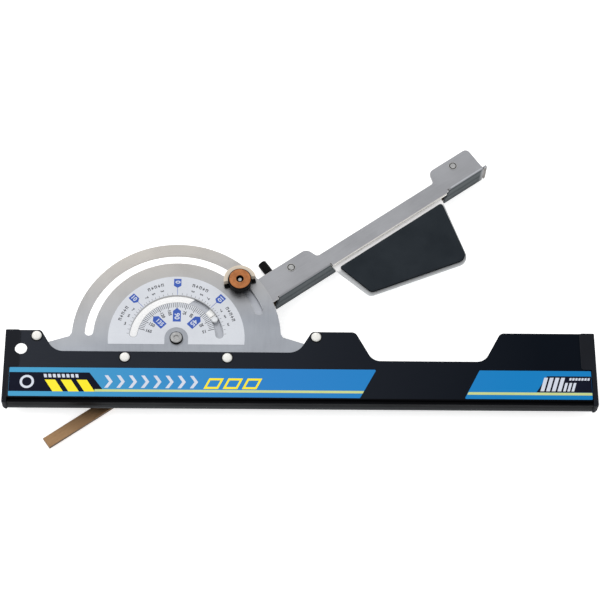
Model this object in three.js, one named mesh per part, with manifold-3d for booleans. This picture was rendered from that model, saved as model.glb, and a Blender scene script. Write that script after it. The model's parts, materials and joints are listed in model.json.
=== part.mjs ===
// An adjustable angle guide for a circular saw: a fence rail carries a protractor plate, and a
// sheet-metal arm swings under the plate about the pivot. A reference bar slides along the arm.
// Millimetres, +Z up. X runs along the fence, the pivot axis is the Z axis, and z = 0 is the top of
// the timber that the guide lies on.

import * as THREE from 'three';
import Module from 'manifold-3d';

const wasm = await Module();
wasm.setup();

// ---------- driving dimensions ----------

const degree = Math.PI / 180;

const fence = {
  left: -129.8, right: 319.9,       // ends of the fence, measured from the pivot
  rear: 5.3, front: -54,          // rear edge and guide edge
  top: 12, skin: 2,              // height above the timber, thickness of the top
  wall: 2.2,                     // thickness of the front wall
  capEnd: 3.5,                   // length of an end cap outside the rail
  ribY: -26, ribWall: 1.6,       // inner rib that carries the anti-slip strip
  footWidth: 9, footThick: 1.4,
  stripThick: 1,
};

const sheet = 1.6;               // arm sheet
const plateThick = 1.8;          // protractor plate
const plateTop = fence.top - fence.skin;
const plateBottom = plateTop - plateThick;
const washerRoom = 0.4;          // room for a pivot washer between plate and arm
const armTop = plateBottom - washerRoom;
const armBottom = armTop - sheet;

const rimRadius = 80;
const outerSlot = { radius: 67, width: 6.5, from: 20.5 * degree, to: 175.8 * degree };
const innerSlot = { radius: 33.1, width: 5.5, from: 5.4 * degree, to: 173.7 * degree };
const stickerRadius = 52.2;
const stickerEdge = -5.2;        // straight lower edge of the scale sticker
const stickerThick = 0.15;

const rivetPlaces = [[-106.1, 0.4], [-38.6, -17], [39.2, -17], [106.8, 0.8]];
const rivetShank = 2;            // radius
const armRivetShank = 2;
const pivotShank = 3;
const pinNeck = 2.2;             // radius of the guide pin where it passes through the arm
const holeClearance = 0.2;

const gripTop = armBottom - 0.01;  // the grip plate lies against the underside of the beam
const gripBottom = gripTop - sheet;

const restAngle = 35.3 * degree; // swing of the arm in the rest pose, from +X
const hubHalf = 19.5;            // half width of the arm's hub
const referenceFace = 16.2;      // reference face, right of the line through the pivot
const bendRadius = 0.3;          // inner bend radius of the sheet
const flangeBottom = -10.5;
// ends of a flange along the arm, at the bend and at the foot
const hubFlange = { bend: [85.5, 134.2], foot: [82.5, 139.5] };
const endFlange = { bend: [250.4, 285], foot: [246.8, 285] };
const beam = { edge: -3.6, right: -17.6, from: 130, to: 243.5 };

const bar = { from: -125.1, to: 278, width: 9.2, thick: 3, top: -5.4 };
const barRight = -referenceFace + sheet + 0.2;
const guideBlock = { left: 5.5, bottom: -9.4, gap: 0.3 };
const hubGuide = { from: 88, to: 119 };
const endGuide = { from: 256, to: 276 };
const armRivetX = [107.5, 265.8];

const knobAngle = 8.8 * degree;  // bearing of the clamp stud from the arm's own line
const pinAngle = -6.9 * degree;  // bearing of the guide pin
const stud = { shoulder: 2.95, thread: 1.95, top: 17.4 };
const knob = {
  bottom: 11.5, neckTop: 14.6, top: 18.6,
  neckRadius: 8.8, rimRadius: 9, discRadius: 8.2, flutes: 12, fluteDepth: 0.6,
  eye: 2.9, eyeFloor: 15.7,      // counterbore that the end of the stud stands in
};
const washer = { radius: 12.6, bottom: 10.3, floorThick: 1.1, rimTop: 16.4, rimInner: 9.4 };
const lugLine = 12 * degree - restAngle;
const lug = { reach: 12.4, width: 3.1, thick: 1.1, offset: -0.4 };

// ---------- colours and finishes ----------

function material(color, roughness, metalness) {
  return new THREE.MeshStandardMaterial({ color, roughness, metalness });
}

const finishes = {
  anodised: material(0x1b2026, 0.45, 0.6),
  capPlastic: material(0x16181b, 0.7, 0),
  blueLabel: material(0x4a9cd5, 0.45, 0),
  stainless: material(0xb4b5b6, 0.35, 1),
  whiteSticker: material(0xd6dae4, 0.4, 0),
  whiteRivet: material(0xe4e4e2, 0.35, 0.2),
  steel: material(0xa0a2a7, 0.35, 1),
  padFoam: material(0x262a32, 0.9, 0),
  brass: material(0x9b7954, 0.4, 0.8),
  blackPlastic: material(0x101112, 0.5, 0),
  copper: material(0xb5682f, 0.4, 0.7),
  cream: material(0xe1d2be, 0.6, 0),
  nylon: material(0xe8e6df, 0.6, 0),
  rubber: material(0x1a1a1a, 0.95, 0),
};

// ---------- helpers ----------

function toManifold(geometry) {
  const plain = geometry.index ? geometry.toNonIndexed() : geometry.clone();
  const position = plain.attributes.position;
  const seen = new Map();
  const vertProperties = [];
  const triVerts = [];
  for (let i = 0; i < position.count; i += 3) {
    const corners = [i, i + 1, i + 2].map((vertex) => {
      const point = [position.getX(vertex), position.getY(vertex), position.getZ(vertex)];
      const key = point.map((value) => Math.round(value * 1e4)).join(',');
      if (!seen.has(key)) {
        seen.set(key, seen.size);
        vertProperties.push(...point);
      }
      return seen.get(key);
    });
    if (new Set(corners).size === 3) triVerts.push(...corners);
  }
  return new wasm.Manifold(new wasm.Mesh({
    numProp: 3,
    vertProperties: new Float32Array(vertProperties),
    triVerts: new Uint32Array(triVerts),
  }));
}

function toGeometry(solid) {
  const mesh = solid.getMesh();
  const geometry = new THREE.BufferGeometry();
  geometry.setAttribute('position', new THREE.BufferAttribute(new Float32Array(mesh.vertProperties), 3));
  geometry.setIndex(new THREE.BufferAttribute(new Uint32Array(mesh.triVerts), 1));
  geometry.computeVertexNormals();
  return geometry;
}

function join(...geometries) {
  return toGeometry(geometries.map(toManifold).reduce((all, next) => all.add(next)));
}

function cut(geometry, ...cutters) {
  const start = toManifold(geometry);
  return toGeometry(cutters.map(toManifold).reduce((rest, cutter) => rest.subtract(cutter), start));
}

function overlap(first, second) {
  return toGeometry(toManifold(first).intersect(toManifold(second)));
}

// A closed outline through corners [x, y, radius], each corner rounded by its own radius.
function roundedOutline(corners) {
  const shape = new THREE.Shape();
  const count = corners.length;
  const place = (i) => new THREE.Vector2(...corners[i % count].slice(0, 2));
  corners.forEach(([x, y, radius = 0], i) => {
    if (radius === 0) {
      if (i === 0) shape.moveTo(x, y);
      else shape.lineTo(x, y);
      return;
    }
    const corner = place(i);
    const before = place(i + count - 1).sub(corner).normalize();
    const after = place(i + 1).sub(corner).normalize();
    const half = Math.acos(THREE.MathUtils.clamp(before.dot(after), -1, 1)) / 2;
    const reach = radius / Math.tan(half);
    const start = corner.clone().addScaledVector(before, reach);
    const end = corner.clone().addScaledVector(after, reach);
    const inward = before.clone().add(after).normalize();
    const middle = corner.clone().addScaledVector(inward, radius / Math.sin(half));
    const from = Math.atan2(start.y - middle.y, start.x - middle.x);
    const to = Math.atan2(end.y - middle.y, end.x - middle.x);
    shape.absarc(middle.x, middle.y, radius, from, to, before.cross(after) > 0);
  });
  shape.closePath();
  return shape;
}

// A flat plate of an outline in X and Y, between two heights.
function plate(shape, bottom, top, curveSegments = 10) {
  const options = { depth: top - bottom, bevelEnabled: false, curveSegments };
  return new THREE.ExtrudeGeometry(shape, options).translate(0, 0, bottom);
}

// A bar along X with a section drawn in Y and Z.
function sectionAlongX(shape, from, to, curveSegments = 6) {
  const options = { depth: to - from, bevelEnabled: false, curveSegments };
  const turned = new THREE.Matrix4().makeBasis(
    new THREE.Vector3(0, 1, 0), new THREE.Vector3(0, 0, 1), new THREE.Vector3(1, 0, 0),
  );
  return new THREE.ExtrudeGeometry(shape, options).applyMatrix4(turned).translate(from, 0, 0);
}

// A round part about Z from a profile of [radius, height] points.
function turnedPart(profile, segments = 32) {
  const points = profile.map(([radius, height]) => new THREE.Vector2(radius, height));
  return new THREE.LatheGeometry(points, segments).rotateX(Math.PI / 2);
}

function disc(x, y, radius, bottom, top, segments = 32) {
  const profile = [[0, bottom], [radius, bottom], [radius, top], [0, top]];
  return turnedPart(profile, segments).translate(x, y, 0);
}

// An arc-shaped slot about the pivot, with round ends.
function slotPath({ radius, width, from, to }) {
  const path = new THREE.Path();
  const half = width / 2;
  const ends = [to, from].map((angle) => [radius * Math.cos(angle), radius * Math.sin(angle)]);
  path.absarc(0, 0, radius + half, from, to, false);
  path.absarc(...ends[0], half, to, to + Math.PI, false);
  path.absarc(0, 0, radius - half, to, from, true);
  path.absarc(...ends[1], half, from + Math.PI, from, false);
  return path;
}

function circlePath(x, y, radius) {
  const path = new THREE.Path();
  path.absarc(x, y, radius, 0, 2 * Math.PI, true);
  return path;
}

function piece(name, geometry, finish) {
  const mesh = new THREE.Mesh(geometry, finish);
  mesh.name = name;
  return mesh;
}

// ---------- fence ----------

// Section of the extruded rail: top, grooved front edge, front wall and inner rib with its foot.
function railSection() {
  const { rear, front, top, skin, wall, ribY, ribWall, footWidth, footThick, stripThick } = fence;
  const underside = top - skin;
  const grooveY = front + 2.2;
  const grooveHalf = 0.9;
  const grooveDepth = 1.1;
  const footTop = stripThick + footThick;
  return roundedOutline([
    [rear, underside], [rear, top, 0.5],
    [grooveY + grooveHalf, top], [grooveY + grooveHalf, top - grooveDepth],
    [grooveY - grooveHalf, top - grooveDepth], [grooveY - grooveHalf, top],
    [front, top, 0.8], [front, 4, 0], [front - 0.5, 3.2, 0.4], [front - 0.5, 0, 1.4],
    [front + wall, 0, 0.4], [front + wall, underside, 1],
    [ribY - ribWall / 2, underside, 1], [ribY - ribWall / 2, footTop, 0.5],
    [ribY - footWidth / 2, footTop], [ribY - footWidth / 2, stripThick],
    [ribY + footWidth / 2, stripThick], [ribY + footWidth / 2, footTop],
    [ribY + ribWall / 2, footTop, 0.5], [ribY + ribWall / 2, underside, 1],
  ]);
}

// A recess in the rear edge with S-shaped sides: run is the length of one side along X.
function recessCutter({ from, to, floor, run, shoulder, fillet }) {
  const { rear, top, skin } = fence;
  const beyond = 12;
  const outline = roundedOutline([
    [from - beyond, rear], [from, rear, shoulder], [from + run, floor, fillet],
    [to - run, floor, fillet], [to, rear, shoulder], [to + beyond, rear],
    [to + beyond, rear + beyond], [from - beyond, rear + beyond],
  ]);
  return plate(outline, top - skin - 1, top + 1, 8);
}

const protractorRecess = { from: -103, to: 103.6, floor: -12.2, run: 10.4, shoulder: 4, fillet: 13 };
const gripRecess = { from: 136.8, to: 248, floor: -18.7, run: 13, shoulder: 5.5, fillet: 10 };

const hangingHole = { x: -117.5, y: -10.3, radius: 4.65 };

function fenceRail() {
  const blank = sectionAlongX(railSection(), fence.left + fence.capEnd, fence.right - fence.capEnd);
  const low = plateTop - 1;
  const high = fence.top + 1;
  const rivetHoles = rivetPlaces.map(([x, y]) => disc(x, y, rivetShank + holeClearance, low, high, 20));
  return cut(
    blank,
    recessCutter(protractorRecess),
    recessCutter(gripRecess),
    disc(hangingHole.x, hangingHole.y, hangingHole.radius, low, high),
    ...rivetHoles,
  );
}

// An end cap at the left end: end wall, corner boss and a tab over the rail's top.
function endCap(withHole) {
  const { left, rear, front, top, capEnd } = fence;
  const tabThick = 0.6;
  const tabLong = 11.4;
  const outside = left;
  const seat = left + capEnd;
  const wallOutline = roundedOutline([
    [front, 0.6, 0.6], [rear, 0.6, 0.6], [rear, top + tabThick, 0.8], [front, top + tabThick, 0.8],
  ]);
  const wall = sectionAlongX(wallOutline, outside, seat, 4);
  const tabFrom = outside + 0.2;
  const tabTo = outside + tabLong;
  const tabOutline = roundedOutline([
    [tabFrom, -24.8, 1], [tabTo, -24.8, 2], [tabTo, rear, 2], [tabFrom, rear, 1],
  ]);
  const tab = plate(tabOutline, top + 0.02, top + tabThick, 4);
  const boss = disc(outside + 2.6, front + 1.4, 2.6, 0.6, top + tabThick + 0.3, 24);
  const corner = new THREE.BoxGeometry(capEnd, 3, top - 2)
    .translate(outside + capEnd / 2, front + 2, top / 2);
  const clear = sectionAlongX(roundedOutline([
    [front - 2, -1], [front + 6, -1], [front + 6, top + 2], [front - 2, top + 2],
  ]), seat, seat + 4);
  const cap = cut(join(wall, tab, boss, corner), clear);
  const { x, y, radius } = hangingHole;
  return withHole ? cut(cap, disc(x, y, radius, top - 1, top + 2)) : cap;
}

function mirrored(geometry, planeX) {
  const copy = geometry.clone().applyMatrix4(new THREE.Matrix4().makeScale(-1, 1, 1));
  const index = copy.index;
  for (let i = 0; i < index.count; i += 3) {
    const second = index.getX(i + 1);
    index.setX(i + 1, index.getX(i + 2));
    index.setX(i + 2, second);
  }
  copy.translate(2 * planeX, 0, 0);
  copy.computeVertexNormals();
  return copy;
}

function labelPlate(farLeft, farRight, nearLeft, nearRight) {
  const labelThick = 0.2;
  const far = -26;
  const near = -49.4;
  const outline = roundedOutline([
    [nearLeft, near, 0.8], [nearRight, near, 0.8], [farRight, far, 0.8], [farLeft, far, 0.8],
  ]);
  return plate(outline, fence.top + 0.01, fence.top + labelThick, 3);
}

function antiSlipStrip() {
  const { ribY, footWidth, stripThick, left, right, capEnd } = fence;
  const half = footWidth / 2 - 0.5;
  const outline = roundedOutline([
    [ribY - half, 0, 0.3], [ribY + half, 0, 0.3], [ribY + half, stripThick], [ribY - half, stripThick],
  ]);
  return sectionAlongX(outline, left + capEnd + 2, right - capEnd - 2);
}

function fenceRivet(x, y) {
  const head = 3.75;
  const headHigh = 1.5;
  const tail = 3.3;
  const tailThick = 1;
  return turnedPart([
    [0, plateBottom - tailThick], [tail - 0.4, plateBottom - tailThick],
    [tail, plateBottom - tailThick + 0.4], [tail, plateBottom], [rivetShank, plateBottom],
    [rivetShank, fence.top], [head, fence.top], [head, fence.top + 0.4],
    [head * 0.8, fence.top + headHigh * 0.8], [head * 0.45, fence.top + headHigh],
    [0, fence.top + headHigh],
  ], 18).translate(x, y, 0);
}

// ---------- protractor ----------

function protractorPlate() {
  const footTip = 112;
  const hidden = -22.5;
  const shape = new THREE.Shape();
  const start = 2.8 * degree;
  shape.absarc(0, 0, rimRadius, start, Math.PI - start, false);
  const side = [[-81.6, 1.2], [-98.5, -4.2], [-103.2, 3.4], [-footTip, 3.4], [-footTip, hidden]];
  side.forEach(([x, y]) => shape.lineTo(x, y));
  side.reverse().forEach(([x, y]) => shape.lineTo(-x, y));
  shape.closePath();
  shape.holes.push(slotPath(outerSlot), slotPath(innerSlot), circlePath(0, 0, pivotShank + holeClearance));
  rivetPlaces.forEach(([x, y]) => shape.holes.push(circlePath(x, y, rivetShank + holeClearance)));
  return plate(shape, plateBottom, plateTop, 22);
}

function scaleSticker() {
  const notch = 9;
  const shape = new THREE.Shape();
  const low = Math.asin(stickerEdge / stickerRadius);
  shape.absarc(0, 0, stickerRadius, low, Math.PI - low, false);
  shape.lineTo(-notch, stickerEdge);
  shape.absarc(0, 0, notch, Math.PI, 0, true);
  shape.lineTo(notch, stickerEdge);
  shape.closePath();
  const margin = 0.5;
  shape.holes.push(slotPath({ ...innerSlot, width: innerSlot.width + 2 * margin }));
  return plate(shape, plateTop, plateTop + stickerThick, 22);
}

// ---------- pivot ----------

const pivotFoot = { radius: 7, wallTop: armBottom - washerRoom, floor: 1 };

function pivotPin() {
  const head = 4.8;
  const headTop = plateTop + 2.3;
  return turnedPart([
    [0, pivotFoot.floor + 0.3], [pivotShank, pivotFoot.floor + 0.3], [pivotShank, plateTop],
    [head, plateTop], [head, headTop - 0.7], [head - 0.9, headTop], [1.9, headTop],
    [1.5, headTop - 0.8], [0, headTop - 0.8],
  ]);
}

function pivotFootPart() {
  const { radius, wallTop, floor } = pivotFoot;
  const bore = pivotShank + 0.15;
  return turnedPart([
    [0, 0], [radius - 0.6, 0], [radius, 0.6], [radius, wallTop], [bore, wallTop], [bore, floor], [0, floor],
  ]);
}

function pivotWasher(bottom) {
  const slack = 0.1;
  const inner = pivotShank + 0.25;
  const outer = 9;
  const low = bottom + slack;
  const high = bottom + washerRoom - slack;
  return turnedPart([[inner, low], [outer, low], [outer, high], [inner, high], [inner, low]]);
}

// ---------- arm (drawn along its own X axis; its right side is -Y) ----------

const bendOuter = bendRadius + sheet;
const bendLine = -referenceFace + bendOuter;

// The sheet's edge is cut in beside each flange, so that the bend can be folded without tearing.
function armSheetOutline() {
  const hubEdge = 6.3;
  const endEdge = 6.5;
  const relief = 1;
  const [hubStart, hubEnd] = hubFlange.bend;
  const [endStart, endEnd] = endFlange.bend;
  const tail = endEnd - 0.4;
  return roundedOutline([
    [-hubHalf, -hubHalf, hubHalf - 0.1], [73, -hubHalf, 5], [76, -referenceFace, 1.5],
    [hubStart - relief, -referenceFace], [hubStart - relief, bendLine], [hubEnd + relief, bendLine],
    [hubEnd + relief, beam.right, 0.5], [endStart - relief - 3, beam.right, 1.2],
    [endStart - relief - 1.5, -referenceFace], [endStart - relief, -referenceFace],
    [endStart - relief, bendLine], [tail, bendLine, 0.5],
    [tail, endEdge, 4], [beam.to + 3, endEdge, 5], [beam.to, beam.edge, 3], [beam.from, beam.edge, 3],
    [126.5, hubEdge, 6], [79, hubEdge, 3], [73, hubHalf, 5], [-hubHalf, hubHalf, hubHalf - 0.1],
  ]);
}

// Section of a flange: a quarter bend, then a wall down to the flange's bottom.
function flangeSection() {
  const shape = new THREE.Shape();
  shape.moveTo(bendLine + 1, armTop);
  shape.lineTo(bendLine, armTop);
  shape.absarc(bendLine, armTop - bendOuter, bendOuter, Math.PI / 2, Math.PI, false);
  shape.lineTo(-referenceFace, flangeBottom);
  shape.lineTo(-referenceFace + sheet, flangeBottom);
  shape.absarc(bendLine, armTop - bendOuter, bendRadius, Math.PI, Math.PI / 2, true);
  shape.lineTo(bendLine + 1, armBottom);
  shape.closePath();
  return shape;
}

// A flange is wider at its foot than at its bend, so its ends are trimmed on a slant.
function flange({ bend, foot }) {
  const slantFrom = flangeBottom + 5;
  const blank = sectionAlongX(flangeSection(), foot[0], Math.max(...foot, ...bend), 6);
  const trim = roundedOutline([
    [foot[0], flangeBottom - 1], [foot[1], flangeBottom - 1], [foot[1], slantFrom],
    [bend[1], gripBottom - 0.6], [bend[1], armTop + 1], [bend[0], armTop + 1],
    [bend[0], armTop - bendOuter], [foot[0], slantFrom],
  ]);
  const window = new THREE.ExtrudeGeometry(trim, { depth: 10, bevelEnabled: false });
  window.rotateX(Math.PI / 2).translate(0, bendLine + 2, 0);
  return overlap(blank, window);
}

// The end flange runs on past the sheet as an upright ear with rounded corners.
function endEar() {
  const start = endFlange.bend[1] - 1;
  const end = 288;
  const earTop = armTop + 1.2;
  const outline = roundedOutline([
    [start, flangeBottom], [end, flangeBottom, 1.5], [end, earTop, 1.2], [start + 1.2, earTop, 0.4],
    [start + 1.2, armTop - bendOuter], [start, armTop - bendOuter],
  ]);
  const ear = new THREE.ExtrudeGeometry(outline, { depth: sheet, bevelEnabled: false, curveSegments: 6 });
  return ear.rotateX(Math.PI / 2).translate(0, -referenceFace + sheet, 0);
}

// ---------- grip plate, a second sheet under the beam ----------

function gripPlate() {
  const outline = roundedOutline([
    [134.8, -10, 1], [135.4, -22.1], [144, -54.6, 5.5], [225.3, -75, 8], [243, -10, 1],
  ]);
  return plate(outline, gripBottom, gripTop, 8);
}

const studPlace = [outerSlot.radius * Math.cos(knobAngle), outerSlot.radius * Math.sin(knobAngle)];
const pinPlace = [innerSlot.radius * Math.cos(pinAngle), innerSlot.radius * Math.sin(pinAngle)];

function armPlate() {
  const low = armBottom - 1;
  const high = armTop + 1;
  const flat = plate(armSheetOutline(), armBottom, armTop, 8);
  const body = join(flat, flange(hubFlange), flange(endFlange), endEar());
  return cut(
    body,
    disc(0, 0, pivotShank + 0.3, low, high),
    disc(...studPlace, stud.shoulder + holeClearance, low, high, 24),
    disc(...pinPlace, pinNeck + holeClearance, low, high, 24),
    ...armRivetX.map((x) => disc(x, 0, armRivetShank + holeClearance, low, high, 20)),
  );
}

function gripPad() {
  const gap = 0.05;
  const edge = 0.6;
  const padThick = 2.5;
  const outline = roundedOutline([
    [138.4, -21.3, 1.5], [146, -53.3, 4], [225.2, -72.9, 7], [238.6, -21.3, 2],
  ]);
  const options = {
    depth: padThick - 2 * edge,
    bevelEnabled: true,
    bevelThickness: edge,
    bevelSize: edge,
    bevelOffset: -edge,
    bevelSegments: 1,
    curveSegments: 5,
  };
  return new THREE.ExtrudeGeometry(outline, options).translate(0, 0, gripTop + gap + edge);
}

function referenceBar() {
  const { from, to, width, thick, top } = bar;
  const chamfer = 0.4;
  const section = roundedOutline([
    [barRight, top - thick, chamfer], [barRight + width, top - thick, chamfer],
    [barRight + width, top, chamfer], [barRight, top, chamfer],
  ]);
  return sectionAlongX(section, from, to, 3);
}

// A guide block under the arm: a channel open to the right holds the bar against the flange.
function guideBlockPart({ from, to }, screwX, rivetX) {
  const { left, bottom, gap } = guideBlock;
  const right = barRight - gap / 2;
  const channelEdge = barRight + bar.width + gap;
  const section = roundedOutline([
    [right, bottom, 0.5], [left, bottom, 1.5], [left, armBottom, 0.5], [right, armBottom, 1.8],
    [right, bar.top + gap], [channelEdge, bar.top + gap],
    [channelEdge, bar.top - bar.thick - gap], [right, bar.top - bar.thick - gap],
  ]);
  const block = sectionAlongX(section, from, to, 4);
  const rivetHole = disc(rivetX, 0, armRivetShank + holeClearance, 1.5, armBottom + 1, 20);
  if (screwX === null) return cut(block, rivetHole);
  const screwBore = barScrew.shank + holeClearance;
  const screwHole = new THREE.CylinderGeometry(screwBore, screwBore, 20, 20)
    .translate(screwX, 0, barScrew.height);
  return cut(block, rivetHole, screwHole);
}

function armRivet(x) {
  const head = 3.5;
  const headTop = armTop + 0.35;
  const groove = { inner: 2.2, outer: 2.95, depth: 0.3 };
  const tip = 1.8;
  return turnedPart([
    [0, tip], [armRivetShank, tip], [armRivetShank, armTop], [head, armTop], [head, headTop - 0.15],
    [head - 0.15, headTop],
    [groove.outer, headTop], [groove.outer, headTop - groove.depth], [groove.inner, headTop - groove.depth],
    [groove.inner, headTop], [0, headTop],
  ], 24).translate(x, 0, 0);
}

// ---------- screw that locks the reference bar ----------

const barScrew = {
  x: 94.7, height: -6.55, headFrom: 9.8, headTo: 21.6, headRadius: 3.5,
  shank: 2, core: 1.4,           // radii of the thread and of the pin inside the cap
};

function barScrewShank() {
  const tip = barRight + bar.width + 1.1;
  const { x, height, headFrom, headTo, shank, core } = barScrew;
  const collar = 2.4;
  const collarLong = 0.6;
  const profile = [
    [0, tip], [shank - 0.5, tip], [shank, tip + 0.5], [shank, headFrom - collarLong],
    [collar, headFrom - collarLong], [collar, headFrom], [core, headFrom],
    [core, headTo - 3], [0, headTo - 3],
  ];
  return new THREE.LatheGeometry(profile.map(([r, h]) => new THREE.Vector2(r, h)), 24)
    .translate(x, 0, height);
}

function barScrewCap() {
  const { headFrom, headTo, headRadius, x, height, core } = barScrew;
  const bore = core + 0.15;
  const profile = [
    [bore, headFrom + 0.05], [headRadius - 0.3, headFrom + 0.05], [headRadius, headFrom + 0.4],
    [headRadius, headTo - 0.5], [headRadius - 0.5, headTo], [0, headTo], [0, headTo - 2.9],
    [bore, headTo - 2.9], [bore, headFrom + 0.05],
  ];
  return new THREE.LatheGeometry(profile.map(([r, h]) => new THREE.Vector2(r, h)), 24)
    .translate(x, 0, height);
}

function barLockPad() {
  const from = barRight + bar.width + 0.15;
  return new THREE.CylinderGeometry(1.7, 1.7, 0.8, 20).translate(barScrew.x, from + 0.4, barScrew.height);
}

// ---------- clamp ----------

function clampStud() {
  const headRadius = 5;
  const headThick = 2.4;
  const headBottom = armBottom - headThick;
  const hex = new THREE.CylinderGeometry(headRadius, headRadius, headThick, 6).rotateX(Math.PI / 2)
    .translate(0, 0, headBottom + headThick / 2);
  const shank = turnedPart([
    [0, headBottom + 1], [stud.shoulder, headBottom + 1], [stud.shoulder, washer.bottom - 0.2],
    [stud.thread, washer.bottom - 0.2], [stud.thread, stud.top - 0.6],
    [stud.thread - 0.6, stud.top], [0, stud.top],
  ], 24);
  return join(hex, shank).translate(...studPlace, 0);
}

// The half-moon washer lies on the far side of the lugs and has a tall rim round the knob.
function clampWasher() {
  const clear = lug.width / 2 + lug.offset + 0.15;
  const halfDisc = (radius) => {
    const start = Math.asin(clear / radius);
    const shape = new THREE.Shape();
    shape.absarc(0, 0, radius, start, Math.PI - start, false);
    shape.closePath();
    return shape;
  };
  const { radius, bottom, floorThick, rimTop, rimInner } = washer;
  const body = plate(halfDisc(radius), bottom, rimTop, 32);
  const hollow = disc(0, 0, rimInner, bottom + floorThick, rimTop + 1, 48);
  const hole = disc(0, 0, stud.shoulder + 0.2, bottom - 1, rimTop + 1, 24);
  return cut(body, hollow, hole).rotateZ(lugLine).translate(...studPlace, 0);
}

function clampLugs() {
  const { reach, width, thick, offset } = lug;
  const near = offset - width / 2;
  const far = offset + width / 2;
  const shape = roundedOutline([[-reach, near, 1], [reach, near, 1], [reach, far, 1], [-reach, far, 1]]);
  const hub = disc(0, 0, 6, washer.bottom, washer.bottom + thick, 40);
  const behind = new THREE.BoxGeometry(30, 30, 10).translate(0, far + 15, washer.bottom);
  const bore = disc(0, 0, stud.thread + 0.25, washer.bottom - 1, washer.bottom + thick + 1, 24);
  const body = join(plate(shape, washer.bottom, washer.bottom + thick, 8), cut(hub, behind));
  return cut(body, bore).rotateZ(lugLine).translate(...studPlace, 0);
}

// The knob's fluted neck widens into a plain rim, with an eye for the end of the stud.
function clampKnob() {
  const { bottom, neckTop, top, neckRadius, rimRadius: rim, flutes, fluteDepth, eye, eyeFloor } = knob;
  const neck = new THREE.Shape();
  const steps = flutes * 6;
  for (let i = 0; i < steps; i += 1) {
    const angle = (i / steps) * 2 * Math.PI;
    const radius = neckRadius - fluteDepth * (0.5 - 0.5 * Math.cos(flutes * angle));
    const point = [radius * Math.cos(angle), radius * Math.sin(angle)];
    if (i === 0) neck.moveTo(...point);
    else neck.lineTo(...point);
  }
  neck.closePath();
  const head = turnedPart([
    [0, neckTop - 1], [neckRadius - fluteDepth, neckTop - 1], [neckRadius, neckTop + 0.4],
    [neckRadius, neckTop + 1], [rim, neckTop + 1.4], [rim, top - 0.4], [rim - 0.3, top], [0, top],
  ], 60);
  const bore = disc(0, 0, stud.thread + 0.15, bottom - 1, top + 1, 24);
  const counterbore = disc(0, 0, eye, eyeFloor, top + 1, 32);
  return cut(join(plate(neck, bottom, neckTop, 4), head), bore, counterbore).translate(...studPlace, 0);
}

function knobDisc() {
  const inner = knob.eye;
  const outer = knob.discRadius;
  const low = knob.top + 0.02;
  const high = knob.top + 0.5;
  return turnedPart([[inner, low], [outer, low], [outer, high - 0.15], [outer - 0.15, high],
    [inner + 0.15, high], [inner, high - 0.15], [inner, low]], 60).translate(...studPlace, 0);
}

// ---------- guide pin and index plate ----------

function guidePin() {
  const body = innerSlot.width / 2 - 0.3;
  const top = plateTop + 0.9;
  const foot = 3.6;
  const low = armBottom - 1.2;
  return turnedPart([
    [0, low], [foot, low], [foot, armBottom], [pinNeck, armBottom], [pinNeck, armTop + 0.02],
    [body, armTop + 0.02], [body, top - 0.5], [body - 0.6, top], [0, top],
  ], 24).translate(...pinPlace, 0);
}

function indexPlate() {
  const inner = innerSlot.radius - 4.6;
  const outer = innerSlot.radius + 4.6;
  const from = -1.9 * degree;
  const to = 9.7 * degree;
  const shape = new THREE.Shape();
  shape.absarc(0, 0, outer, from, to, false);
  shape.absarc(0, 0, inner, to, from, true);
  shape.closePath();
  return plate(shape, armTop + 0.01, armTop + 0.2, 8);
}

// ---------- assembly ----------

const group = new THREE.Group();

const leftCap = endCap(true);
const rightCap = mirrored(endCap(false), (fence.left + fence.right) / 2);
group.add(
  piece('fence_rail', fenceRail(), finishes.anodised),
  piece('left_end_cap', leftCap, finishes.capPlastic),
  piece('right_end_cap', rightCap, finishes.capPlastic),
  piece('fence_label_left', labelPlate(-125.1, 152.4, -125.1, 139.6), finishes.blueLabel),
  piece('fence_label_right', labelPlate(230.8, 315.6, 218.6, 315.6), finishes.blueLabel),
  piece('anti_slip_strip', antiSlipStrip(), finishes.rubber),
  piece('protractor_plate', protractorPlate(), finishes.stainless),
  piece('scale_sticker', scaleSticker(), finishes.whiteSticker),
  piece('pivot_pin', pivotPin(), finishes.steel),
  piece('pivot_foot', pivotFootPart(), finishes.steel),
  piece('pivot_washer_upper', pivotWasher(armTop), finishes.nylon),
  piece('pivot_washer_lower', pivotWasher(armBottom - washerRoom), finishes.nylon),
);
rivetPlaces.forEach(([x, y], i) => {
  group.add(piece(`fence_rivet_${i + 1}`, fenceRivet(x, y), finishes.whiteRivet));
});

const arm = new THREE.Group();
arm.rotation.z = restAngle;
arm.add(
  piece('arm_plate', armPlate(), finishes.steel),
  piece('grip_plate', gripPlate(), finishes.steel),
  piece('grip_pad', gripPad(), finishes.padFoam),
  piece('reference_bar', referenceBar(), finishes.brass),
  piece('bar_guide_hub', guideBlockPart(hubGuide, barScrew.x, armRivetX[0]), finishes.blackPlastic),
  piece('bar_guide_end', guideBlockPart(endGuide, null, armRivetX[1]), finishes.blackPlastic),
  piece('arm_rivet_hub', armRivet(armRivetX[0]), finishes.steel),
  piece('arm_rivet_end', armRivet(armRivetX[1]), finishes.steel),
  piece('bar_screw', barScrewShank(), finishes.steel),
  piece('bar_screw_cap', barScrewCap(), finishes.blackPlastic),
  piece('bar_lock_pad', barLockPad(), finishes.nylon),
  piece('clamp_stud', clampStud(), finishes.steel),
  piece('clamp_washer', clampWasher(), finishes.cream),
  piece('clamp_lugs', clampLugs(), finishes.blackPlastic),
  piece('clamp_knob', clampKnob(), finishes.blackPlastic),
  piece('knob_disc', knobDisc(), finishes.copper),
  piece('guide_pin', guidePin(), finishes.steel),
  piece('index_plate', indexPlate(), finishes.nylon),
);
group.add(arm);

export default group;
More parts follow.
